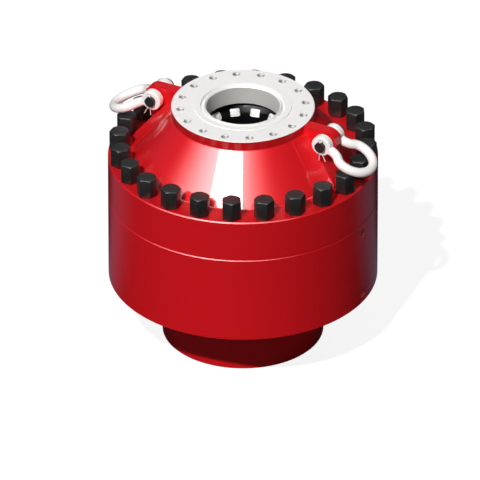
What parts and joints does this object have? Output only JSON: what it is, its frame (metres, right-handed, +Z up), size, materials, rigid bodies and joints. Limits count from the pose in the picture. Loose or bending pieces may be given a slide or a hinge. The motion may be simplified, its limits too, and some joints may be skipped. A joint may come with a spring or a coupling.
{
  "type": "annular blowout preventer",
  "caption": "Annular blowout preventer: round bolted housing with a domed cover, studded top flange, rubber packing element in its through bore and two lifting shackles.",
  "frame": {"origin": "centre of the bottom face, on the bore axis", "axes": "+Z up along the bore axis; the lifting lugs stand on X; both hydraulic ports face +X; the shackles' cotter ends face -Y"},
  "size_m": [1.3896, 1.27, 1.219],
  "materials": {
    "upper_housing": "gloss red paint, white-primed flange face, bare steel bore",
    "lower_housing": "gloss red paint, bare steel bore",
    "packing_element": "smooth moulded rubber",
    "piston": "machined",
    "adapter_ring": "machined",
    "lifting_lug": "gloss red paint",
    "cover_bolt": "satin black coating",
    "shackle_bow": "gloss white paint",
    "shackle_pin": "satin black coating",
    "cotter_pin": "plain"
  },
  "bodies": {
    "preventer": {"upper_housing": "upper_housing", "lower_housing": "lower_housing", "bottom_neck": "lower_housing", "packing_element": "packing_element", "piston": "piston", "adapter_ring": "adapter_ring", "lifting_lug_right": "lifting_lug", "lifting_lug_left": "lifting_lug", "cover_bolt_01": "cover_bolt", "cover_bolt_02": "cover_bolt", "cover_bolt_03": "cover_bolt", "cover_bolt_04": "cover_bolt", "cover_bolt_05": "cover_bolt", "cover_bolt_06": "cover_bolt", "cover_bolt_07": "cover_bolt", "cover_bolt_08": "cover_bolt", "cover_bolt_09": "cover_bolt", "cover_bolt_10": "cover_bolt", "cover_bolt_11": "cover_bolt", "cover_bolt_12": "cover_bolt", "cover_bolt_13": "cover_bolt", "cover_bolt_14": "cover_bolt", "cover_bolt_15": "cover_bolt", "cover_bolt_16": "cover_bolt", "cover_bolt_17": "cover_bolt", "cover_bolt_18": "cover_bolt", "cover_bolt_19": "cover_bolt", "cover_bolt_20": "cover_bolt", "cover_bolt_21": "cover_bolt", "cover_bolt_22": "cover_bolt", "cover_bolt_23": "cover_bolt", "cover_bolt_24": "cover_bolt"},
    "shackle_right": {"shackle_bow_right": "shackle_bow", "shackle_pin_right": "shackle_pin", "cotter_pin_right": "cotter_pin"},
    "shackle_left": {"shackle_bow_left": "shackle_bow", "shackle_pin_left": "shackle_pin", "cotter_pin_left": "cotter_pin"}
  },
  "joints": [
    {"name": "shackle_right_swing", "type": "hinge", "parent": "preventer", "child": "shackle_right", "pos_m": [0.45, 0, 1.155], "axis": [0, -1, 0], "range_deg": [0, 165]},
    {"name": "shackle_left_swing", "type": "hinge", "parent": "preventer", "child": "shackle_left", "pos_m": [-0.45, 0, 1.155], "axis": [0, 1, 0], "range_deg": [0, 165]}
  ]
}
